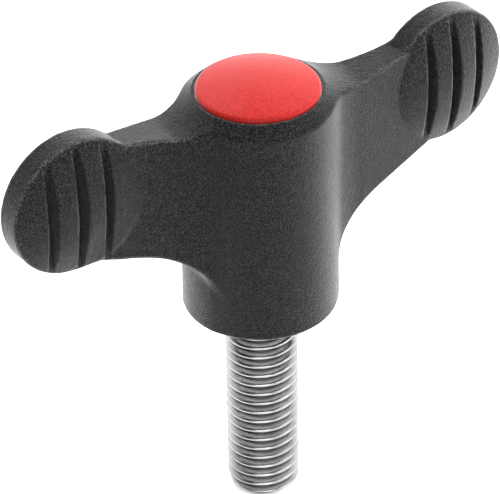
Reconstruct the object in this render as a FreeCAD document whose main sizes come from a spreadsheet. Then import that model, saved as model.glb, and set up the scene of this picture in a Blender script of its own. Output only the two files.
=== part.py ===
import FreeCAD, Part
import math
import os
import Sketcher
from FreeCAD import Vector as V

os.makedirs("parts", exist_ok=True)

# Threaded wing knob, M8 x 1.25 stud.  Millimetres.
# Frame: the origin is the centre of the hub's underside, the screw axis is Z,
# +Z points up to the cap, the stud runs down to -Z, the two wings lie along X.
doc = FreeCAD.newDocument("wing_knob")

sheet = doc.addObject("Spreadsheet::Sheet", "dims")
DIMS = [
    # hub, a slightly tapered boss
    ("hub_foot_rad", 8.34), ("hub_top_rad", 8.03), ("hub_foot_bevel", 0.35),
    ("shoulder_z", 24.95), ("lip_rad", 6.90), ("lip_z", 26.30),
    # seat of the cap and socket of its skirt
    ("seat_rad", 6.66), ("seat_z", 25.10), ("socket_rad", 5.05), ("socket_z", 20.60),
    # arms: seen from above
    ("sweep_root", 7.90), ("sweep_rad", 10.5), ("sweep_ang", 44.5), ("flank_ang", 12.1),
    ("nose_x", 22.6), ("nose_y", 0.29), ("nose_back_y", 1.90),
    ("back_mid_x", 10.0), ("back_mid_y", 2.63), ("back_end_x", 17.5), ("back_end_y", 1.98), ("back_rad", 16.0),
    # arms: seen from the front
    ("arm_top_z", 23.25), ("arm_top_slope", 0.152),
    ("under_x", 13.5), ("under_z", 10.65), ("under_rad", 12.0), ("under_in_x", 6.0), ("under_in_z", 3.17),
    ("under_out_x", 21.6), ("under_out_z", 13.35),
    # finger pads: double-domed discs, each turned a little about the vertical axis
    ("pad_x", 22.49), ("pad_y", 0.88), ("pad_z", 20.68), ("pad_rad", 7.68), ("pad_turn", 7.8),
    ("pad_half", 1.30), ("dome_rad", 20.0),
    # finger grooves, three to a face, measured outwards from the pad's middle
    ("front_a", -2.83), ("front_b", 0.40), ("front_c", 3.77), ("front_floor", 1.50),
    ("back_a", -3.20), ("back_b", 0.20), ("back_c", 3.70), ("back_floor", 1.44),
    ("floor_half", 0.34), ("wall_lean", 0.22), ("wall_run", 5.0), ("groove_span", 40.0),
    # edge rounds
    ("arm_top_round", 0.34), ("arm_under_round", 0.50), ("rim_round", 0.22),
    # cap
    ("cap_rad", 6.56), ("cap_side_z", 26.42), ("cap_edge_rad", 6.14), ("cap_edge_z", 26.78),
    ("cap_crown_z", 27.68), ("cap_edge_round", 0.46), ("skirt_rad", 4.98),
    ("skirt_in_rad", 4.00), ("skirt_z", 21.20),
    # stud
    ("stud_rad", 3.96), ("neck_rad", 3.58), ("relief_rad", 4.12), ("relief_z", 0.40), ("stud_end_z", 25.0), ("stud_point", 0.75), ("shank_z", 9.0),
    ("anchor_flats", 10.0), ("anchor_z", 15.0),
]
for n, (alias, value) in enumerate(DIMS, start=1):
    sheet.set("A%d" % n, alias)
    sheet.set("B%d" % n, repr(value))
    sheet.setAlias("B%d" % n, alias)
doc.recompute()
D = {alias: value for alias, value in DIMS}


def plane_of(body, role):
    for feature in body.Origin.OriginFeatures:
        if feature.Role == role:
            return feature
    raise RuntimeError(role)


def new_body(name):
    body = doc.addObject("PartDesign::Body", name)
    body.Label = name
    body.Placement = FreeCAD.Placement(V(0, 0, 0), FreeCAD.Rotation(0, 0, 0))
    return body


def new_sketch(body, name, role, lift=None):
    sk = body.newObject("Sketcher::SketchObject", name)
    sk.AttachmentSupport = [(plane_of(body, role), "")]
    sk.MapMode = "FlatFace"
    if lift:
        sk.setExpression("AttachmentOffset.Base.z", lift)
    doc.recompute()
    return sk


def ev(text):
    """Value of a size formula, for the first guess of the solver."""
    names = dict(D)
    names.update(sin=lambda a: math.sin(math.radians(a)), cos=lambda a: math.cos(math.radians(a)),
                 tan=lambda a: math.tan(math.radians(a)), sqrt=math.sqrt)
    tree = compile_formula(text, names)
    return tree


def compile_formula(text, names):
    # tiny evaluator: + - * / ( ) names numbers and one-argument functions
    pos = [0]
    s = text.replace(" ", "")

    def peek():
        return s[pos[0]] if pos[0] < len(s) else ""

    def expr():
        v = term()
        while peek() in ("+", "-") and peek():
            o = s[pos[0]]
            pos[0] += 1
            w = term()
            v = v + w if o == "+" else v - w
        return v

    def term():
        v = factor()
        while peek() in ("*", "/") and peek():
            o = s[pos[0]]
            pos[0] += 1
            w = factor()
            v = v * w if o == "*" else v / w
        return v

    def factor():
        c = peek()
        if c == "-":
            pos[0] += 1
            return -factor()
        if c == "(":
            pos[0] += 1
            v = expr()
            pos[0] += 1
            return v
        k = pos[0]
        while peek() and (peek().isalnum() or peek() in "._"):
            pos[0] += 1
        word = s[k:pos[0]]
        if peek() == "(":
            pos[0] += 1
            v = expr()
            pos[0] += 1
            return names[word](v)
        return names[word] if word in names else float(word)

    return expr()


def bind(obj, prop, formula):
    out, word = "", ""
    for ch in formula + " ":
        if ch.isalnum() or ch == "_":
            word += ch
            continue
        out += ("dims." + word) if word in D else word
        out += ch
        word = ""
    obj.setExpression(prop, out.strip())


def outline(sk, verts, arcs=None):
    """Closed outline.  verts are pairs of size formulas; arcs maps the index of an
    edge to (radius formula, side): side +1 has its centre left of the edge, -1 right.
    With a third entry the radius is only a guess and the centre lies on the axis."""
    arcs = arcs or {}
    pts = [V(ev(a), ev(b), 0) for a, b in verts]
    count = len(pts)
    ends = []
    for k in range(count):
        p, q = pts[k], pts[(k + 1) % count]
        if k in arcs:
            radius, side = ev(arcs[k][0]), arcs[k][1]
            chord = q.sub(p)
            half = chord.Length / 2
            left = V(-chord.y, chord.x, 0).normalize()
            rise = math.sqrt(radius ** 2 - half ** 2)
            centre = p.add(q).multiply(0.5).add(V(left).multiply(rise * side))
            a0 = math.atan2(p.y - centre.y, p.x - centre.x)
            a1 = math.atan2(q.y - centre.y, q.x - centre.x)
            circle = Part.Circle(centre, V(0, 0, 1), radius)
            if side > 0:      # centre on the left: runs counter-clockwise
                g = sk.addGeometry(Part.ArcOfCircle(circle, a0, a1 if a1 > a0 else a1 + 2 * math.pi), False)
                ends.append((g, 1, 2))
            else:
                g = sk.addGeometry(Part.ArcOfCircle(circle, a1, a0 if a0 > a1 else a0 + 2 * math.pi), False)
                ends.append((g, 2, 1))
        else:
            g = sk.addGeometry(Part.LineSegment(p, q), False)
            ends.append((g, 1, 2))
    for k in range(count):
        g, _, e = ends[k]
        h, s, _ = ends[(k + 1) % count]
        sk.addConstraint(Sketcher.Constraint("Coincident", g, e, h, s))
    for k in range(count):
        g, s, _ = ends[k]
        for axis, formula in (("DistanceX", verts[k][0]), ("DistanceY", verts[k][1])):
            value = ev(formula)
            if abs(value) < 1e-9:
                sk.addConstraint(Sketcher.Constraint("PointOnObject", g, s, -2 if axis == "DistanceX" else -1))
            else:
                c = sk.addConstraint(Sketcher.Constraint(axis, -1, 1, g, s, value))
                bind(sk, "Constraints[%d]" % c, formula)
        if k in arcs and len(arcs[k]) > 2:      # centre on the turning axis
            sk.addConstraint(Sketcher.Constraint("PointOnObject", g, 3, -2))
        elif k in arcs:
            c = sk.addConstraint(Sketcher.Constraint("Radius", g, ev(arcs[k][0])))
            bind(sk, "Constraints[%d]" % c, arcs[k][0])
    doc.recompute()
    return ends


def revolve(body, name, sk, kind="PartDesign::Revolution", axis="V_Axis"):
    f = body.newObject(kind, name)
    f.Profile = sk
    f.ReferenceAxis = (sk, [axis])
    f.Angle = 360
    doc.recompute()
    return f


# ---------------------------------------------------------------- wing body
# One moulding: boss, two arms and two finger pads.
body = new_body("arms_and_boss")

# arms from above: both flanks sweep out of the boss; the leading flank is one long
# hollow curve into the pad, the trailing one runs straight
c0 = "(sweep_root+sweep_rad)"
T1 = (c0 + "*sin(sweep_ang)-sweep_rad*sin(sweep_ang)", c0 + "*cos(sweep_ang)-sweep_rad*cos(sweep_ang)")
T2 = (c0 + "*sin(sweep_ang)-sweep_rad*sin(flank_ang)", c0 + "*cos(sweep_ang)-sweep_rad*cos(flank_ang)")


def neg(f):
    return f[2:-1] if f.startswith("-(") else "-(" + f + ")"


right = [
    (T1[0], neg(T1[1])), (T2[0], neg(T2[1])), ("nose_x", neg("nose_y")), ("nose_x", "nose_back_y"),
    ("back_end_x", "back_end_y"), ("back_mid_x", "back_mid_y"), (T1[0], T1[1]),
]
left = [(neg(a), neg(b)) for a, b in right]
sk = new_sketch(body, "arm_plan", "XY_Plane", "dims.under_in_z")
outline(sk, right + left, {0: ("sweep_rad", -1), 4: ("back_rad", -1), 5: ("sweep_rad", -1),
                           7: ("sweep_rad", -1), 11: ("back_rad", -1), 12: ("sweep_rad", -1)})
arms = body.newObject("PartDesign::Pad", "arms")
arms.Profile = sk
arms.setExpression("Length", "dims.arm_top_z + dims.arm_top_slope * dims.nose_x - dims.under_in_z + 1")
doc.recompute()
before = body.Shape.Volume

# arms from the front: the top rises gently outwards, the underside runs down into the boss
sk = new_sketch(body, "arm_top", "XZ_Plane")
out = "nose_x+3"
outline(sk, [("0", "arm_top_z"), (out, "arm_top_z+arm_top_slope*(nose_x+3)"), (out, "arm_top_z+12"),
             ("-(nose_x+3)", "arm_top_z+12"), ("-(nose_x+3)", "arm_top_z+arm_top_slope*(nose_x+3)")])
cut = body.newObject("PartDesign::Pocket", "arm_top_cut")
cut.Profile = sk
cut.Type = 1
cut.Midplane = True
doc.recompute()
after = body.Shape.Volume
print("arm top cut", round(before - after, 1))
before = after
sk = new_sketch(body, "arm_under_right", "XZ_Plane")
outline(sk, [("under_in_x", "under_in_z-2"), (out, "under_in_z-2"), (out, "under_out_z+0.333*(nose_x+3-under_out_x)"),
             ("under_x", "under_z"), ("under_in_x", "under_in_z")], {3: ("under_rad", 1)})
cut = body.newObject("PartDesign::Pocket", "arm_under_cut_right")
cut.Profile = sk
cut.Type = 1
cut.Midplane = True
doc.recompute()
sk = new_sketch(body, "arm_under_left", "XZ_Plane")
outline(sk, [("-(under_in_x)", "under_in_z-2"), ("-(nose_x+3)", "under_in_z-2"),
             ("-(nose_x+3)", "under_out_z+0.333*(nose_x+3-under_out_x)"),
             ("-(under_x)", "under_z"), ("-(under_in_x)", "under_in_z")], {3: ("under_rad", -1)})
cut = body.newObject("PartDesign::Pocket", "arm_under_cut_left")
cut.Profile = sk
cut.Type = 1
cut.Midplane = True
doc.recompute()
after = body.Shape.Volume
print("arm under cut", round(before - after, 1))

# boss with sloping shoulder, turned about Z (XZ plane: sketch x = X, sketch y = Z)
sk = new_sketch(body, "boss_profile", "XZ_Plane")
outline(sk, [("0", "0"), ("hub_foot_rad-hub_foot_bevel", "0"), ("hub_foot_rad", "hub_foot_bevel"),
             ("hub_top_rad", "shoulder_z"), ("lip_rad", "lip_z"), ("0", "lip_z")],
        {1: ("hub_foot_bevel", 1)})
boss = revolve(body, "boss", sk)
print("with boss", round(body.Shape.Volume, 1), body.Shape.isValid(), len(body.Shape.Solids))


# long edges of the arms, rounded along the top and along the underside
def long_edges(upper):
    names = []
    for n, e in enumerate(body.Shape.Edges, start=1):
        if e.BoundBox.XLength < 0.5:
            continue
        good = True
        for k in (0.3, 0.5, 0.7):
            m = e.valueAt(e.FirstParameter + k * (e.LastParameter - e.FirstParameter))
            x = abs(m.x)
            if math.hypot(m.x, m.y) < D["hub_foot_rad"] + 0.02 or x > D["nose_x"] - 0.1:
                good = False
            elif upper and abs(m.z - D["arm_top_z"] - D["arm_top_slope"] * x) > 0.02:
                good = False
            elif not upper and m.z > D["arm_top_z"] - D["rim_round"]:
                good = False
        if good:
            names.append("Edge%d" % n)
    return names


last = boss
for upper, tag, size in ((False, "arm_under_edges", "arm_under_round"), (True, "arm_top_edges", "arm_top_round")):
    picked = long_edges(upper)
    rnd = body.newObject("PartDesign::Fillet", tag)
    rnd.Base = (last, picked)
    bind(rnd, "Radius", size)
    doc.recompute()
    print(tag, round(body.Shape.Volume, 1), body.Shape.isValid(), rnd.State)
    last = rnd



def on_pad(obj, side, x, y, z, spin="0", tip="0"):
    """Place something in the frame of a finger pad: x runs outwards along the pad, y
    through it, z up.  side +1 is the right pad; the left one is the same after a half turn."""
    sign = "" if side > 0 else "-1*"
    turn = "pad_turn" if side > 0 else "(pad_turn+180)"
    px = "%s(pad_x+(%s)*cos(pad_turn)-(%s)*sin(pad_turn))" % (sign, x, y)
    py = "%s(pad_y+(%s)*sin(pad_turn)+(%s)*cos(pad_turn))" % (sign, x, y)
    bind(obj, "Placement", "placement(vector(%s; %s; %s); rotation(vector(0; 0; 1); %s+%s) * rotation(vector(1; 0; 0); %s))"
         % (px, py, z, turn, spin, tip))


def pad_blank(name, side):
    """Double-domed disc, turned about its own middle: two large domes, a straight rim and
    two rounded rim edges that run on smoothly into both."""
    pad = new_body(name)
    sk = new_sketch(pad, name + "_profile", "XZ_Plane")
    ball = "(sqrt(dome_rad*dome_rad-pad_rad*pad_rad)-pad_half)"
    grow = "(dome_rad/(dome_rad-rim_round))"
    lift = "sqrt((dome_rad-rim_round)*(dome_rad-rim_round)-(pad_rad-rim_round)*(pad_rad-rim_round))"
    edge_x, edge_z = "(pad_rad-rim_round)*" + grow, "(" + lift + "*" + grow + "-" + ball + ")"
    rim_z, top_z = "(" + lift + "-" + ball + ")", "(dome_rad-" + ball + ")"
    outline(sk, [("0", "-" + top_z), (edge_x, "-" + edge_z), ("pad_rad", "-" + rim_z), ("pad_rad", rim_z),
                 (edge_x, edge_z), ("0", top_z)],
            {0: ("dome_rad", 1, True), 1: ("rim_round", 1), 3: ("rim_round", 1), 4: ("dome_rad", 1, True)})
    revolve(pad, name + "_turned", sk)
    on_pad(pad, side, "0", "0", "pad_z", tip="-90")
    doc.recompute()
    print(name, round(pad.Shape.Volume, 1), pad.Shape.isValid(), len(pad.Shape.Solids), pad.Shape.BoundBox)
    return pad


pads = [pad_blank("pad_right", 1), pad_blank("pad_left", -1)]
winged = doc.addObject("Part::MultiFuse", "winged")
winged.Shapes = [body] + pads
doc.recompute()
print("with pads", round(winged.Shape.Volume, 1), winged.Shape.isValid(), len(winged.Shape.Solids), winged.Shape.BoundBox)

# three upright grooves in each pad face, flat floors, leaning walls
cutters = []
for side, where in ((1, "right"), (-1, "left")):
    for face, tag in ((-1, "front"), (1, "back")):
        sk = doc.addObject("Sketcher::SketchObject", "grooves_%s_%s" % (where, tag))
        on_pad(sk, side, "0", "0", "under_in_z")
        sign = "" if face > 0 else "-"
        for place in ("_a", "_b", "_c"):
            mid = tag + place
            near_y = sign + "(" + tag + "_floor)"
            far_y = sign + "(" + tag + "_floor+wall_run)"
            wide = "(floor_half+wall_lean*wall_run)"
            outline(sk, [(mid + "-floor_half", near_y), (mid + "+floor_half", near_y),
                         (mid + "+" + wide, far_y), (mid + "-" + wide, far_y)])
        bars = doc.addObject("Part::Extrusion", "groove_bars_%s_%s" % (where, tag))
        bars.Base = sk
        bars.DirMode = "Normal"
        bind(bars, "LengthFwd", "groove_span")
        bars.Solid = True
        doc.recompute()
        cutters.append(bars)
bars = doc.addObject("Part::MultiFuse", "groove_bars")
bars.Shapes = cutters
grooved = doc.addObject("Part::Cut", "grooved")
grooved.Base = winged
grooved.Tool = bars
doc.recompute()
print("grooves", round(winged.Shape.Volume - grooved.Shape.Volume, 2), grooved.Shape.isValid(), bars.Shape.Volume)

# seat for the cap, socket for its skirt, and the bore and hexagonal pocket that the
# stud is moulded into
hollow_body = new_body("hollow")
sk = new_sketch(hollow_body, "hollow_top", "XZ_Plane")
outline(sk, [("0", "socket_z"), ("socket_rad", "socket_z"), ("socket_rad", "seat_z"), ("seat_rad", "seat_z"),
             ("seat_rad", "lip_z+3"), ("0", "lip_z+3")])
revolve(hollow_body, "hollow_seat", sk)
pin_body = new_body("threaded_stud")
sk = new_sketch(pin_body, "stud_profile", "XZ_Plane")
outline(sk, [("0", "-(stud_end_z)"), ("stud_rad-stud_point", "-(stud_end_z)"), ("stud_rad", "-(stud_end_z-stud_point)"),
             ("stud_rad", "0"), ("neck_rad", "0"), ("neck_rad", "shank_z+1"), ("0", "shank_z+1")])
revolve(pin_body, "stud_shank", sk)
sk = new_sketch(pin_body, "anchor_profile", "XY_Plane", "dims.shank_z")
hexa = []
for k in range(6):
    hexa.append(("anchor_flats/sqrt(3)*cos(%d)" % (60 * k), "anchor_flats/sqrt(3)*sin(%d)" % (60 * k)))
outline(sk, hexa)
anchor = pin_body.newObject("PartDesign::Pad", "anchor")
anchor.Profile = sk
anchor.setExpression("Length", "dims.anchor_z - dims.shank_z")
doc.recompute()
print("stud", round(pin_body.Shape.Volume, 1), pin_body.Shape.isValid(), pin_body.Shape.BoundBox)

# shallow ring at the mouth of the bore, so that the face seats clear of the thread's end
relief = doc.addObject("Part::Cylinder", "bore_relief")
bind(relief, "Radius", "relief_rad")
bind(relief, "Height", "2*relief_z")
bind(relief, "Placement.Base.z", "-1*relief_z")
hollows = doc.addObject("Part::MultiFuse", "hollows")
hollows.Shapes = [hollow_body, pin_body, relief]
wing = doc.addObject("Part::Cut", "wing_cut")
wing.Base = grooved
wing.Tool = hollows
doc.recompute()
print("wing", round(wing.Shape.Volume, 1), wing.Shape.isValid(), len(wing.Shape.Solids))

# ---------------------------------------------------------------- cap
cap = new_body("cap")
sk = new_sketch(cap, "cap_profile", "XZ_Plane")
outline(sk, [("0", "seat_z"), ("skirt_in_rad", "seat_z"), ("skirt_in_rad", "skirt_z"), ("skirt_rad", "skirt_z"),
             ("skirt_rad", "seat_z"), ("cap_rad", "seat_z"), ("cap_rad", "cap_side_z"), ("cap_edge_rad", "cap_edge_z"),
             ("0", "cap_crown_z")], {6: ("cap_edge_round", 1), 7: ("cap_edge_rad*cap_edge_rad/(2*(cap_crown_z-cap_edge_z))+(cap_crown_z-cap_edge_z)/2", 1, True)})
revolve(cap, "cap_turned", sk)
print("cap", round(cap.Shape.Volume, 1), cap.Shape.isValid(), cap.Shape.BoundBox)
wing.Label = "wing_body"
FINAL = {"wing_body": wing, "cap": cap, "threaded_stud": pin_body}
doc.recompute()
for obj in doc.Objects:
    if "Invalid" in obj.State or "Error" in obj.State:
        raise RuntimeError("%s is %s" % (obj.Label, obj.State))
for name, obj in FINAL.items():
    shape = obj.Shape
    if shape.isNull() or not shape.isValid() or len(shape.Solids) != 1:
        raise RuntimeError("bad solid " + name)
for name, obj in FINAL.items():
    obj.Shape.exportStep("parts/%s.step" % name)
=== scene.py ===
import bpy
import math
import numpy as np
from mathutils import Matrix, Vector


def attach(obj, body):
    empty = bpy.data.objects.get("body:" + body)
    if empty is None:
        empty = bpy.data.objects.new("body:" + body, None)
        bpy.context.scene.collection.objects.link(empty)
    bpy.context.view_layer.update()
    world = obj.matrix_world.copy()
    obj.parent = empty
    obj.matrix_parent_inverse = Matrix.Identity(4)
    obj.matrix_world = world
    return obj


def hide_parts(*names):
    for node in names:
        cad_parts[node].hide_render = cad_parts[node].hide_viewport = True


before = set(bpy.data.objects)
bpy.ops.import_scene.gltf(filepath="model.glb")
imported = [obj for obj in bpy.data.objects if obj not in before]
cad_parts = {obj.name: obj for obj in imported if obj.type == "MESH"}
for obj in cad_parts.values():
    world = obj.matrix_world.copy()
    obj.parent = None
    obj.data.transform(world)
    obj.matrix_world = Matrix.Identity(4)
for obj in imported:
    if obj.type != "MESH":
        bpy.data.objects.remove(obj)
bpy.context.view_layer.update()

MM = 0.001

# ------------------------------------------------------------------ sizes, mm
# the same figures as the CAD's sheet
HUB_FOOT, HUB_TOP, SHOULDER_Z, LIP_R, LIP_Z = 8.34, 8.03, 24.95, 6.90, 26.30
SEAT_R, SEAT_Z, SOCKET_R, SOCKET_Z, NECK_R, RELIEF_R, RELIEF_Z = 6.66, 25.10, 5.05, 20.60, 3.58, 4.12, 0.40
SWEEP_ROOT, SWEEP_R, SWEEP_A, FLANK_A = 7.90, 10.5, math.radians(44.5), math.radians(12.1)
NOSE_X, NOSE_Y = 22.6, 0.29
MID_X, MID_Y, END_X, END_Y, BACK_R = 10.0, 2.63, 17.5, 1.98, 16.0
TOP_Z, TOP_SLOPE = 23.25, 0.152
UNDER_X, UNDER_Z, UNDER_R, UNDER_IN_X, UNDER_IN_Z, UNDER_OUT_X, UNDER_OUT_Z = 13.5, 10.65, 12.0, 6.0, 3.17, 21.6, 13.35
PAD_X, PAD_Y, PAD_Z, PAD_R, PAD_T, PAD_H, DOME_R = 22.49, 0.88, 20.68, 7.68, math.radians(7.8), 1.30, 20.0
GROOVES = {-1: ((-2.83, 0.40, 3.77), 1.50), 1: ((-3.20, 0.20, 3.70), 1.44)}
FLOOR_HALF, LEAN = 0.34, 0.22
CROWN_Z = 27.68


# ------------------------------------------------------------------ distance field of the moulding
def rmax(a, b, r):
    return np.minimum(np.maximum(a, b), -r) + np.hypot(np.maximum(a + r, 0), np.maximum(b + r, 0))


def rmin(a, b, r):
    return np.maximum(np.minimum(a, b), r) - np.hypot(np.maximum(r - a, 0), np.maximum(r - b, 0))


def smin(a, b, k):
    """Wide soft union for surfaces that meet at a shallow angle."""
    h = np.maximum(k - np.abs(a - b), 0) / k
    return np.minimum(a, b) - h * h * k / 4


def centre_of(p, q, radius, side):
    """Centre of the arc from p to q; side +1 is left of the chord."""
    dx, dy = q[0] - p[0], q[1] - p[1]
    half = math.hypot(dx, dy) / 2
    rise = math.sqrt(radius ** 2 - half ** 2) * side
    nx, ny = -dy / (2 * half), dx / (2 * half)
    return (p[0] + q[0]) / 2 + nx * rise, (p[1] + q[1]) / 2 + ny * rise


C0 = (SWEEP_ROOT + SWEEP_R)
SWC = (C0 * math.sin(SWEEP_A), C0 * math.cos(SWEEP_A))
T1 = (SWC[0] - SWEEP_R * math.sin(SWEEP_A), SWC[1] - SWEEP_R * math.cos(SWEEP_A))
T2 = (SWC[0] - SWEEP_R * math.sin(FLANK_A), SWC[1] - SWEEP_R * math.cos(FLANK_A))
ROOTC = centre_of((MID_X, MID_Y), T1, SWEEP_R, -1)
BACKC = centre_of((END_X, END_Y), (MID_X, MID_Y), BACK_R, -1)
UNDC = centre_of((UNDER_X, UNDER_Z), (UNDER_IN_X, UNDER_IN_Z), UNDER_R, 1)


def flank_lead(s):
    """Half width of the straight-ended flank, and its slope."""
    s = np.maximum(s, T1[0])
    arc = SWC[1] - np.sqrt(np.maximum(SWEEP_R ** 2 - (s - SWC[0]) ** 2, 1e-6))
    arc_k = (s - SWC[0]) / np.sqrt(np.maximum(SWEEP_R ** 2 - (s - SWC[0]) ** 2, 1e-6))
    k = (NOSE_Y - T2[1]) / (NOSE_X - T2[0])
    line = T2[1] + k * (s - T2[0])
    return np.where(s < T2[0], arc, line), np.where(s < T2[0], arc_k, k)


def flank_trail(s):
    s = np.maximum(s, T1[0])
    a = ROOTC[1] - np.sqrt(np.maximum(SWEEP_R ** 2 - (s - ROOTC[0]) ** 2, 1e-6))
    ak = (s - ROOTC[0]) / np.sqrt(np.maximum(SWEEP_R ** 2 - (s - ROOTC[0]) ** 2, 1e-6))
    b = BACKC[1] - np.sqrt(np.maximum(BACK_R ** 2 - (s - BACKC[0]) ** 2, 1e-6))
    bk = (s - BACKC[0]) / np.sqrt(np.maximum(BACK_R ** 2 - (s - BACKC[0]) ** 2, 1e-6))
    k = (1.90 - END_Y) / (NOSE_X - END_X)
    line = END_Y + k * (s - END_X)
    f = np.where(s < MID_X, a, np.where(s < END_X, b, line))
    g = np.where(s < MID_X, ak, np.where(s < END_X, bk, k))
    return f, g


def underside(s):
    arc = UNDC[1] + np.sqrt(np.maximum(UNDER_R ** 2 - (s - UNDC[0]) ** 2, 1e-6))
    arc_k = -(s - UNDC[0]) / np.sqrt(np.maximum(UNDER_R ** 2 - (s - UNDC[0]) ** 2, 1e-6))
    k = (UNDER_OUT_Z - UNDER_Z) / (UNDER_OUT_X - UNDER_X)
    line = UNDER_Z + k * (s - UNDER_X)
    return np.where(s < UNDER_X, arc, line), np.where(s < UNDER_X, arc_k, k)


def field(x, y, z, grooves=True):
    """Signed distance of the moulding, negative inside.  It repeats after a half turn."""
    sg = np.where(x < 0, -1.0, 1.0)
    s, w = x * sg, y * sg
    r = np.hypot(x, y)
    lean = (HUB_FOOT - HUB_TOP) / SHOULDER_Z
    side = (r - (HUB_FOOT - lean * z)) / math.hypot(1, lean)
    bx, bz = LIP_Z - SHOULDER_Z, HUB_TOP - LIP_R
    band = ((r - HUB_TOP) * bx + (z - SHOULDER_Z) * bz) / math.hypot(bx, bz)

    fl, kl = flank_lead(s)
    ft, kt = flank_trail(s)
    # before the flanks leave it, both follow the root circle inside the hub
    lead = np.where(s < T1[0], r - SWEEP_ROOT, (-w - fl) / np.sqrt(1 + kl * kl))
    trail = np.where(s < T1[0], r - SWEEP_ROOT, (w - ft) / np.sqrt(1 + kt * kt))
    uz, uk = underside(s)
    under = rmin((uz - z) / np.sqrt(1 + uk * uk), side, 0.8)
    walls = np.maximum(rmax(np.maximum(lead, trail), under, 0.50), s - NOSE_X)
    walls = smin(side, walls, 0.55 + 0.30 * np.clip((z - 9.0) / 12.0, 0, 1))
    # one upper surface: the sloping band runs out into the tops of the arms
    top = (z - (TOP_Z + TOP_SLOPE * np.sqrt(s * s + 4.0))) / math.hypot(1, TOP_SLOPE)
    upper = rmin(band, top, 2.6)
    body = rmax(walls, upper, 0.34)
    body = np.maximum(body, z - LIP_Z)
    body = rmax(body, -z, 0.30)

    c, n = math.cos(PAD_T), math.sin(PAD_T)
    t = (s - PAD_X) * c + (w - PAD_Y) * n
    d = -(s - PAD_X) * n + (w - PAD_Y) * c
    h = z - PAD_Z
    ball = math.sqrt(DOME_R ** 2 - PAD_R ** 2) - PAD_H
    front = np.sqrt(t * t + (d - ball) ** 2 + h * h) - DOME_R
    back = np.sqrt(t * t + (d + ball) ** 2 + h * h) - DOME_R
    pad = rmax(np.hypot(t, h) - PAD_R, np.maximum(front, back), 0.22)

    soft = 0.02 + 1.1 * np.clip((d - 0.3) / 0.9, 0, 1) * np.clip(-upper / 1.6, 0.30, 1)
    body = rmin(body, pad, soft)
    for face in (-1, 1) if grooves else ():
        mids, floor = GROOVES[face]
        for m in mids:
            depth = d * face
            wall = (np.abs(t - m) - (FLOOR_HALF + LEAN * (depth - floor))) / math.hypot(1, LEAN)
            body = rmax(body, -np.maximum(wall, floor - depth), 0.10)
    body = np.maximum(body, -np.maximum(r - SEAT_R, SEAT_Z - z))
    body = np.maximum(body, -np.maximum(r - SOCKET_R, SOCKET_Z - z))
    body = np.maximum(body, -np.maximum(r - NECK_R, z - 3.0))
    body = np.maximum(body, -np.maximum(r - RELIEF_R, z - RELIEF_Z))
    return body


def slope(p, e=0.03):
    g = np.empty_like(p)
    for k in range(3):
        o = np.zeros(3)
        o[k] = e
        a, b = p + o, p - o
        g[:, k] = (field(a[:, 0], a[:, 1], a[:, 2]) - field(b[:, 0], b[:, 1], b[:, 2])) / (2 * e)
    return g


def contour(low, high, step):
    """Quads on the zero level of the field, one vertex for each cell that it crosses.  The
    vertex is where the tangent planes of the cell's crossings meet, which keeps edges crisp."""
    ax = [np.arange(l, u + step, step) for l, u in zip(low, high)]
    X, Y, Z = np.meshgrid(*ax, indexing="ij")
    F = field(X, Y, Z)
    inside = F < 0
    n = [len(a) - 1 for a in ax]
    count = np.zeros(n, np.int16)
    for i in (0, 1):
        for j in (0, 1):
            for k in (0, 1):
                count += inside[i:i + n[0], j:j + n[1], k:k + n[2]]
    cells = (count > 0) & (count < 8)
    index = np.full(n, -1, np.int64)
    total = int(cells.sum())
    index[cells] = np.arange(total)
    corner = np.array(low) + np.argwhere(cells) * step
    A = np.zeros((total, 3, 3))
    B = np.zeros((total, 3))
    M = np.zeros((total, 3))
    K = np.zeros(total)
    quads = []
    for axis in range(3):
        b, c = (axis + 1) % 3, (axis + 2) % 3
        lo = [slice(None)] * 3
        hi = [slice(None)] * 3
        lo[axis], hi[axis] = slice(0, -1), slice(1, None)
        f0, f1 = F[tuple(lo)], F[tuple(hi)]
        E = np.argwhere((f0 < 0) != (f1 < 0))
        E = E[(E[:, b] > 0) & (E[:, c] > 0) & (E[:, b] < n[b]) & (E[:, c] < n[c])]
        v0, v1 = f0[E[:, 0], E[:, 1], E[:, 2]], f1[E[:, 0], E[:, 1], E[:, 2]]
        u0, u1 = np.zeros(len(E)), np.ones(len(E))
        base = np.array(low) + E * step
        for _ in range(3):          # false position, to find the crossing on the real field
            u = u0 + (u1 - u0) * v0 / (v0 - v1)
            p = base.copy()
            p[:, axis] += u * step
            v = field(p[:, 0], p[:, 1], p[:, 2])
            same = (v < 0) == (v0 < 0)
            u0, v0 = np.where(same, u, u0), np.where(same, v, v0)
            u1, v1 = np.where(same, u1, u), np.where(same, v1, v)
        u = u0 + (u1 - u0) * v0 / np.where(v0 - v1 == 0, 1e-12, v0 - v1)
        p = base.copy()
        p[:, axis] += u * step
        g = slope(p, 0.012)
        g /= np.maximum(np.linalg.norm(g, axis=1), 1e-9)[:, None]
        ring = []
        for db, dc in ((-1, -1), (0, -1), (0, 0), (-1, 0)):
            J = E.copy()
            J[:, b] += db
            J[:, c] += dc
            at = index[J[:, 0], J[:, 1], J[:, 2]]
            ring.append(at)
            np.add.at(A, at, g[:, :, None] * g[:, None, :])
            np.add.at(B, at, g * (g * p).sum(1)[:, None])
            np.add.at(M, at, p)
            np.add.at(K, at, 1)
        q = np.stack(ring, 1)
        turn = inside[E[:, 0], E[:, 1], E[:, 2]]
        q[~turn] = q[~turn][:, ::-1]
        quads.append(q)
    M /= np.maximum(K, 1)[:, None]
    rest = B - np.einsum("nij,nj->ni", A, M)
    w, V = np.linalg.eigh(A)
    keep = w > 0.08 * np.maximum(w[:, -1:], 1e-9)
    step_by = np.einsum("nij,nj->ni", V, np.where(keep, np.einsum("nji,nj->ni", V, rest) / np.where(keep, w, 1), 0))
    verts = np.clip(M + step_by, corner, corner + step)
    return verts, np.vstack(quads)


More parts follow.
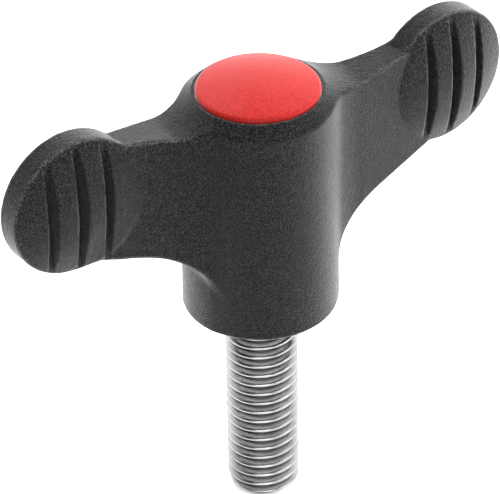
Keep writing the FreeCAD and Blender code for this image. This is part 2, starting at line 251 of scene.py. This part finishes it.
def make_mesh(name, verts, faces):
    mesh = bpy.data.meshes.new(name)
    mesh.from_pydata(verts.tolist(), [], faces.tolist() if isinstance(faces, np.ndarray) else faces)
    mesh.validate()
    mesh.update()
    mesh.polygons.foreach_set("use_smooth", [True] * len(mesh.polygons))
    obj = bpy.data.objects.new(name, mesh)
    bpy.context.collection.objects.link(obj)
    return obj


STEP = 0.25
verts, quads = contour((-30.93, -9.07, -0.61), (30.9, 9.1, 28.9), STEP)
wing = make_mesh("wing_moulding", verts * MM, quads)
if len(wing.data.loops) == quads.size:
    # each corner's normal is taken from the field a little way into its own face, so that
    # faces on both sides of an edge keep their own
    corner_at = np.zeros(quads.size, np.int64)
    wing.data.loops.foreach_get("vertex_index", corner_at)
    own = corner_at.reshape(-1, 4)
    mid = verts[own].mean(1)
    at = (verts[own] * 0.88 + mid[:, None, :] * 0.12).reshape(-1, 3)
    normals = slope(at, 0.008)
    normals /= np.maximum(np.linalg.norm(normals, axis=1), 1e-9)[:, None]
    flat_n = np.cross(verts[own[:, 2]] - verts[own[:, 0]], verts[own[:, 3]] - verts[own[:, 1]])
    flat_n = np.repeat(flat_n / np.maximum(np.linalg.norm(flat_n, axis=1), 1e-12)[:, None], 4, axis=0)
    stray = (normals * flat_n).sum(1) < 0.70
    normals[stray] = flat_n[stray]
    wing.data.normals_split_custom_set(normals.tolist())
# how sharply the surface turns outwards, 1/mm: it sets a painted highlight, a paler base colour on the convex edges
e = 0.10
turn_in = -6.0 * field(verts[:, 0], verts[:, 1], verts[:, 2], False)
for k in range(3):
    for way in (-e, e):
        q = verts.copy()
        q[:, k] += way
        turn_in = turn_in + field(q[:, 0], q[:, 1], q[:, 2], False)
edge = wing.data.attributes.new("edge", "FLOAT", "POINT")
highlight_part = np.clip((np.abs(verts[:, 0]) - 7.0) / 3.0, 0.20, 1)          # the painted edge highlight is kept weaker on the boss than on the wings
edge.data.foreach_set("value", (highlight_part * np.clip(turn_in / (e * e), 0, 4.5)).astype(np.float32))
print("wing triangles", 2 * len(quads), "faces kept", len(wing.data.polygons) == len(quads))

# ------------------------------------------------------------------ thread of the stud, a right-hand helix
PITCH, R_OUT, R_ROOT, END_Z, POINT = 1.25, 3.955, 3.26, -25.0, 0.78
N_TURN = 128
ROWS = PITCH / 20


def thread_radius(z, turn):
    """Rounded 60 degree thread: height over the root at a height z and an angle (turns)."""
    u = ((z - THREAD_START) / PITCH - turn) % 1.0
    u = np.abs(u - 0.5) * 2          # 0 at the crest, 1 at the root
    crest, root = 0.13, 0.80
    v = np.clip((u - crest) / (root - crest), 0, 1)
    v = v * 0.80 + 0.20 * (v * v * (3 - 2 * v))
    return R_OUT - (R_OUT - R_ROOT) * v


THREAD_START = 0.35
zs = np.concatenate([np.arange(END_Z, 0.0, ROWS), [0.0]])
ang = np.linspace(0, 2 * np.pi, N_TURN, endpoint=False)
ZZ, AA = np.meshgrid(zs, ang, indexing="ij")
RR = thread_radius(ZZ, AA / (2 * np.pi))
RR = np.minimum(RR, R_OUT - POINT + (ZZ - END_Z) * 1.0)     # 45 degree point
tv = np.stack([RR * np.cos(AA), RR * np.sin(AA), ZZ], -1).reshape(-1, 3)
faces = []
rows = len(zs)
i = np.arange(rows - 1)[:, None] * N_TURN
j = np.arange(N_TURN)[None, :]
k = (j + 1) % N_TURN
faces = np.stack([i + j, i + k, i + N_TURN + k, i + N_TURN + j], -1).reshape(-1, 4).tolist()
# end face in rings, slightly dished
rings = [2.6, 1.9, 1.2, 0.5]
base = len(tv)
extra = []
for q, rad in enumerate(rings):
    dish = 0.05 * (1 - (rad / 2.6)) + 0.02
    extra += [[rad * math.cos(a), rad * math.sin(a), END_Z + dish] for a in ang]
extra.append([0, 0, END_Z + 0.07])
tv = np.vstack([tv, np.array(extra)])
prev = 0
for q in range(len(rings)):
    start = base + q * N_TURN
    for a in range(N_TURN):
        b = (a + 1) % N_TURN
        faces.append([prev + b, prev + a, start + a, start + b])
    prev = start
tip = len(tv) - 1
for a in range(N_TURN):
    b = (a + 1) % N_TURN
    faces.append([prev + b, prev + a, tip])
# plain neck going up into the moulding
neck = [(NECK_R, 0.0), (NECK_R, 2.8), (0.0, 2.8)]
top = (rows - 1) * N_TURN
start = len(tv)
nv = []
for rad, z in neck[:2]:
    nv += [[rad * math.cos(a), rad * math.sin(a), z] for a in ang]
nv.append([0, 0, 2.8])
tv = np.vstack([tv, np.array(nv)])
for lo, hi in ((top, start), (start, start + N_TURN)):
    for a in range(N_TURN):
        b = (a + 1) % N_TURN
        faces.append([lo + a, lo + b, hi + b, hi + a])
for a in range(N_TURN):
    faces.append([start + N_TURN + a, start + N_TURN + (a + 1) % N_TURN, start + 2 * N_TURN])
stud = make_mesh("stud_thread", tv * MM, faces)

# ------------------------------------------------------------------ cap, turned profile with rounded edges
prof = [(0.0, CROWN_Z)]
rise = CROWN_Z - 26.78
crown_r = (6.14 ** 2) / (2 * rise) + rise / 2
for rad in np.linspace(0.4, 6.0, 20):
    prof.append((rad, CROWN_Z - (crown_r - math.sqrt(crown_r ** 2 - rad ** 2))))
ec = (6.10, 26.32)
for a in np.linspace(math.radians(73), 0, 12):
    prof.append((ec[0] + 0.46 * math.cos(a), ec[1] + 0.46 * math.sin(a)))
prof += [(6.56, 26.1), (6.56, 25.7), (6.56, 25.16), (6.50, 25.10), (5.2, 25.10), (4.98, 25.0), (4.98, 21.4), (4.88, 21.20),
         (4.10, 21.20), (4.00, 21.35), (4.00, 25.0), (3.8, 25.10), (0.0, 25.10)]
NC = 144
ca = np.linspace(0, 2 * np.pi, NC, endpoint=False)
cv, rings_at = [], []
for rad, z in prof:
    rings_at.append(len(cv))
    if rad == 0.0:
        cv.append([0, 0, z])
    else:
        cv += [[rad * math.cos(a), rad * math.sin(a), z] for a in ca]
cf = []
for m in range(len(prof) - 1):
    a0, b0 = rings_at[m], rings_at[m + 1]
    for a in range(NC):
        b = (a + 1) % NC
        if prof[m][0] == 0.0:
            cf.append([a0, b0 + a, b0 + b])
        elif prof[m + 1][0] == 0.0:
            cf.append([a0 + b, a0 + a, b0])
        else:
            cf.append([a0 + a, b0 + a, b0 + b, a0 + b])
cap = make_mesh("cap_disc", np.array(cv) * MM, cf)


# ------------------------------------------------------------------ materials
def material(name):
    m = bpy.data.materials.new(name)
    m.use_nodes = True
    nt = m.node_tree
    bsdf = nt.nodes.get("Principled BSDF")
    tc = nt.nodes.new("ShaderNodeTexCoord")
    return m, nt, bsdf, tc


def noise(nt, tc, scale, detail=2.0, rough=0.5, stretch=None):
    n = nt.nodes.new("ShaderNodeTexNoise")
    n.inputs["Scale"].default_value = scale
    n.inputs["Detail"].default_value = detail
    n.inputs["Roughness"].default_value = rough
    if stretch:
        mp = nt.nodes.new("ShaderNodeMapping")
        mp.inputs["Scale"].default_value = stretch
        nt.links.new(tc.outputs["Object"], mp.inputs["Vector"])
        nt.links.new(mp.outputs["Vector"], n.inputs["Vector"])
    else:
        nt.links.new(tc.outputs["Object"], n.inputs["Vector"])
    return n


def ramp(nt, source, stops):
    r = nt.nodes.new("ShaderNodeValToRGB")
    while len(r.color_ramp.elements) < len(stops):
        r.color_ramp.elements.new(0.5)
    for e, (p, c) in zip(r.color_ramp.elements, stops):
        e.position = p
        e.color = (*c, 1)
    nt.links.new(source, r.inputs["Fac"])
    return r


def span(nt, source, lo, hi, a=0.0, b=1.0):
    m = nt.nodes.new("ShaderNodeMapRange")
    m.inputs["From Min"].default_value = a
    m.inputs["From Max"].default_value = b
    m.inputs["To Min"].default_value = lo
    m.inputs["To Max"].default_value = hi
    nt.links.new(source, m.inputs["Value"])
    return m


def bump(nt, bsdf, layers):
    """layers: (height output, distance in metres, strength)"""
    last = None
    for height, dist, strength in layers:
        b = nt.nodes.new("ShaderNodeBump")
        b.inputs["Distance"].default_value = dist
        b.inputs["Strength"].default_value = strength
        nt.links.new(height, b.inputs["Height"])
        if last:
            nt.links.new(last.outputs["Normal"], b.inputs["Normal"])
        last = b
    nt.links.new(last.outputs["Normal"], bsdf.inputs["Normal"])


# black moulding: fine spark-eroded grain with faint glass-fibre mottling
black, nt, bsdf, tc = material("black_moulding")
grain = noise(nt, tc, 6800.0, 2.0, 0.6)
mottle = noise(nt, tc, 900.0, 3.0, 0.55)
flow = noise(nt, tc, 110.0, 2.0, 0.5, (1, 1, 0.35))
col = ramp(nt, grain.outputs["Fac"], [(0.42, (0.0003, 0.0003, 0.0003)), (0.51, (0.0030, 0.0030, 0.0031)), (0.60, (0.0250, 0.0250, 0.0254))])
# painted highlight: the 'edge' attribute lightens the base colour on convex edges, broken up by the grain
highlight_attr = nt.nodes.new("ShaderNodeAttribute")
highlight_attr.attribute_name = "edge"
highlight_ramp = span(nt, highlight_attr.outputs["Fac"], 0.0, 0.75, 1.0, 3.4)
patchy = span(nt, grain.outputs["Fac"], 0.15, 1.0, 0.42, 0.58)
highlight_amount = nt.nodes.new("ShaderNodeMath")
highlight_amount.operation = "MULTIPLY"
nt.links.new(highlight_ramp.outputs["Result"], highlight_amount.inputs[0])
nt.links.new(patchy.outputs["Result"], highlight_amount.inputs[1])
painted_highlight = nt.nodes.new("ShaderNodeMix")
painted_highlight.data_type = "RGBA"
nt.links.new(highlight_amount.outputs["Value"], painted_highlight.inputs["Factor"])
nt.links.new(col.outputs["Color"], painted_highlight.inputs["A"])
painted_highlight.inputs["B"].default_value = (0.085, 0.085, 0.086, 1)
nt.links.new(painted_highlight.outputs["Result"], bsdf.inputs["Base Color"])
rg = span(nt, grain.outputs["Fac"], 0.34, 0.50, 0.3, 0.7)
nt.links.new(rg.outputs["Result"], bsdf.inputs["Roughness"])
bump(nt, bsdf, [(grain.outputs["Fac"], 0.00013, 0.9), (mottle.outputs["Fac"], 0.00008, 0.25), (flow.outputs["Fac"], 0.00006, 0.10)])
bsdf.inputs["IOR"].default_value = 1.5
bsdf.inputs["Specular IOR Level"].default_value = 0.10
bsdf.inputs["Sheen Weight"].default_value = 0.46
bsdf.inputs["Sheen Roughness"].default_value = 0.25

# red cap: smooth matte moulding, faint grain
red, nt, bsdf, tc = material("red_moulding")
grain = noise(nt, tc, 4200.0, 3.0, 0.6)
mottle = noise(nt, tc, 420.0, 2.0, 0.5)
col = ramp(nt, grain.outputs["Fac"], [(0.36, (0.185, 0.001, 0.001)), (0.64, (0.275, 0.009, 0.006))])
nt.links.new(col.outputs["Color"], bsdf.inputs["Base Color"])
rg = span(nt, grain.outputs["Fac"], 0.40, 0.52, 0.3, 0.7)
nt.links.new(rg.outputs["Result"], bsdf.inputs["Roughness"])
bump(nt, bsdf, [(grain.outputs["Fac"], 0.00005, 0.6), (mottle.outputs["Fac"], 0.00004, 0.12)])
bsdf.inputs["IOR"].default_value = 1.5
bsdf.inputs["Specular IOR Level"].default_value = 0.20
bsdf.inputs["Sheen Weight"].default_value = 0.70
bsdf.inputs["Sheen Roughness"].default_value = 0.25

# stainless steel with rolling marks round the thread
steel, nt, bsdf, tc = material("stainless_thread")
marks = noise(nt, tc, 1500.0, 2.0, 0.5, (0.35, 0.35, 3.0))
blot = noise(nt, tc, 380.0, 3.0, 0.5)
col = ramp(nt, blot.outputs["Fac"], [(0.30, (0.35, 0.348, 0.343)), (0.70, (0.45, 0.448, 0.442))])
# painted shade: the base colour darkens towards the roots of the thread, from radius 3.64 mm in to 3.28 mm
flat_xy = nt.nodes.new("ShaderNodeVectorMath")
flat_xy.operation = "MULTIPLY"
flat_xy.inputs[1].default_value = (1, 1, 0)
nt.links.new(tc.outputs["Object"], flat_xy.inputs[0])
radius = nt.nodes.new("ShaderNodeVectorMath")
radius.operation = "LENGTH"
nt.links.new(flat_xy.outputs["Vector"], radius.inputs[0])
root = span(nt, radius.outputs["Value"], 0.10, 1.0, 3.28 * MM, 3.64 * MM)
shade = nt.nodes.new("ShaderNodeMix")
shade.data_type = "RGBA"
shade.blend_type = "MULTIPLY"
shade.inputs["Factor"].default_value = 1.0
nt.links.new(col.outputs["Color"], shade.inputs["A"])
nt.links.new(root.outputs["Result"], shade.inputs["B"])
nt.links.new(shade.outputs["Result"], bsdf.inputs["Base Color"])
bsdf.inputs["Metallic"].default_value = 1.0
bsdf.inputs["Specular Tint"].default_value = (0.45, 0.45, 0.45, 1)
rg = span(nt, marks.outputs["Fac"], 0.16, 0.28, 0.3, 0.7)
nt.links.new(rg.outputs["Result"], bsdf.inputs["Roughness"])
bump(nt, bsdf, [(marks.outputs["Fac"], 0.000012, 0.35)])

for obj, mat, node, slot_name in ((wing, black, "wing_body", "black_plastic"), (cap, red, "cap", "red_plastic"),
                                  (stud, steel, "threaded_stud", "stainless_steel")):
    obj.data.materials.append(mat)
    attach(obj, "root")
    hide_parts(node)

# ------------------------------------------------------------------ floor
FLOOR_Z = -25.0
floor_mat, nt, bsdf, tc = material("pale_floor")
fn = noise(nt, tc, 12.0, 2.0, 0.5)
col = ramp(nt, fn.outputs["Fac"], [(0.3, (0.76, 0.76, 0.76)), (0.7, (0.78, 0.78, 0.78))])
nt.links.new(col.outputs["Color"], bsdf.inputs["Base Color"])
bsdf.inputs["Roughness"].default_value = 0.9
bsdf.inputs["Specular IOR Level"].default_value = 0.1
mesh = bpy.data.meshes.new("floor")
e = 3.0
mesh.from_pydata([(-e, -e, FLOOR_Z * MM), (e, -e, FLOOR_Z * MM), (e, e, FLOOR_Z * MM), (-e, e, FLOOR_Z * MM)], [], [(0, 1, 2, 3)])
floor = bpy.data.objects.new("floor", mesh)
bpy.context.collection.objects.link(floor)
mesh.materials.append(floor_mat)

# ------------------------------------------------------------------ camera, at the photograph's angle
F_PX, DIST, ELEV, ROLL, TX, TY, AZIM = 3409.057, 366.810, math.radians(35.425), math.radians(-0.9273), 1.1786, -5.1056, math.radians(-29.0)
b = Vector((math.sin(AZIM) * math.cos(ELEV), -math.cos(AZIM) * math.cos(ELEV), math.sin(ELEV)))
r0 = Vector((math.cos(AZIM), math.sin(AZIM), 0))
u0 = b.cross(r0)
rt = r0 * math.cos(ROLL) + u0 * math.sin(ROLL)
up = -r0 * math.sin(ROLL) + u0 * math.cos(ROLL)
place = (-TX * rt - TY * up + DIST * b) * MM
cam_data = bpy.data.cameras.new("camera")
cam_data.sensor_fit = "HORIZONTAL"
cam_data.sensor_width = 36.0
cam_data.lens = F_PX / 500.0 * 36.0
cam_data.clip_start = 0.01
cam_data.clip_end = 20.0
camera = bpy.data.objects.new("camera", cam_data)
bpy.context.collection.objects.link(camera)
m = Matrix.Identity(4)
for q in range(3):
    m[q][0], m[q][1], m[q][2], m[q][3] = rt[q], up[q], b[q], place[q]
camera.matrix_world = m
bpy.context.scene.camera = camera

# ------------------------------------------------------------------ light: a white tent, darker on the side that the lens looks in from
world = bpy.data.worlds.new("tent")
bpy.context.scene.world = world
world.use_nodes = True
nt = world.node_tree
bg = nt.nodes.get("Background")
tc = nt.nodes.new("ShaderNodeTexCoord")
dot = nt.nodes.new("ShaderNodeVectorMath")
dot.operation = "DOT_PRODUCT"
dot.inputs[1].default_value = (b.x, b.y, b.z)
nt.links.new(tc.outputs["Generated"], dot.inputs[0])
tent = nt.nodes.new("ShaderNodeValToRGB")
stops = [(0.0, 2.2), (0.34, 2.2), (0.50, 1.5), (0.63, 0.85), (0.76, 0.10), (0.92, 0.18), (0.97, 2.8), (1.0, 4.0)]
while len(tent.color_ramp.elements) < len(stops):
    tent.color_ramp.elements.new(0.5)
for el, (p, v) in zip(tent.color_ramp.elements, stops):
    el.position = p
    el.color = (v, v, v, 1)
half = span(nt, dot.outputs["Value"], 0.0, 1.0, -1.0, 1.0)
nt.links.new(half.outputs["Result"], tent.inputs["Fac"])
# and a softbox high on the right
dot2 = nt.nodes.new("ShaderNodeVectorMath")
dot2.operation = "DOT_PRODUCT"
dot2.inputs[1].default_value = Vector((0.50, -0.60, 0.62)).normalized()
nt.links.new(tc.outputs["Generated"], dot2.inputs[0])
box = span(nt, dot2.outputs["Value"], 0.0, 2.4, 0.86, 0.97)
both = nt.nodes.new("ShaderNodeMath")
both.operation = "ADD"
nt.links.new(tent.outputs["Color"], both.inputs[0])
nt.links.new(box.outputs["Result"], both.inputs[1])
# the tent is dimmer high at the back
dot3 = nt.nodes.new("ShaderNodeVectorMath")
dot3.operation = "DOT_PRODUCT"
dot3.inputs[1].default_value = Vector((-0.12, 0.60, 0.79)).normalized()
nt.links.new(tc.outputs["Generated"], dot3.inputs[0])
dim = span(nt, dot3.outputs["Value"], 1.0, 0.70, 0.78, 0.96)
lit = nt.nodes.new("ShaderNodeMath")
lit.operation = "MULTIPLY"
nt.links.new(both.outputs["Value"], lit.inputs[0])
nt.links.new(dim.outputs["Result"], lit.inputs[1])
bg.inputs["Color"].default_value = (1, 1, 1, 1)
nt.links.new(lit.outputs["Value"], bg.inputs["Strength"])


def area(name, where, aim, w, h, power):
    data = bpy.data.lights.new(name, "AREA")
    data.shape = "RECTANGLE"
    data.size, data.size_y, data.energy = w, h, power
    ob = bpy.data.objects.new(name, data)
    bpy.context.collection.objects.link(ob)
    ob.location = where
    d = Vector(aim) - Vector(where)
    ob.rotation_euler = d.to_track_quat("-Z", "Y").to_euler()
    return ob


back = Vector((-b.x, -b.y, 0)).normalized()
lamps = [area("tent_back", back * 0.16 + Vector((0, 0, 0.20)), back * 0.07 + Vector((0, 0, -0.025)), 0.26, 0.16, 1.35)]
lamps.append(area("tent_right", (0.23, -0.04, 0.09), (0.03, -0.01, -0.025), 0.22, 0.12, 0.75))
lamps.append(area("tent_left", (-0.20, 0.14, 0.15), (-0.07, 0.03, -0.025), 0.22, 0.14, 0.72))
lamps.append(area("tent_front", (0.26, -0.26, 0.10), (0, 0, 0.012), 0.20, 0.16, 1.25))
for lamp in lamps:          # they light the floor and walls; what shines back is the tent
    lamp.visible_glossy = False

scene = bpy.context.scene
scene.view_settings.view_transform = "Standard"
scene.view_settings.look = "None"
scene.view_settings.exposure = 0.0
scene.view_settings.gamma = 1.0
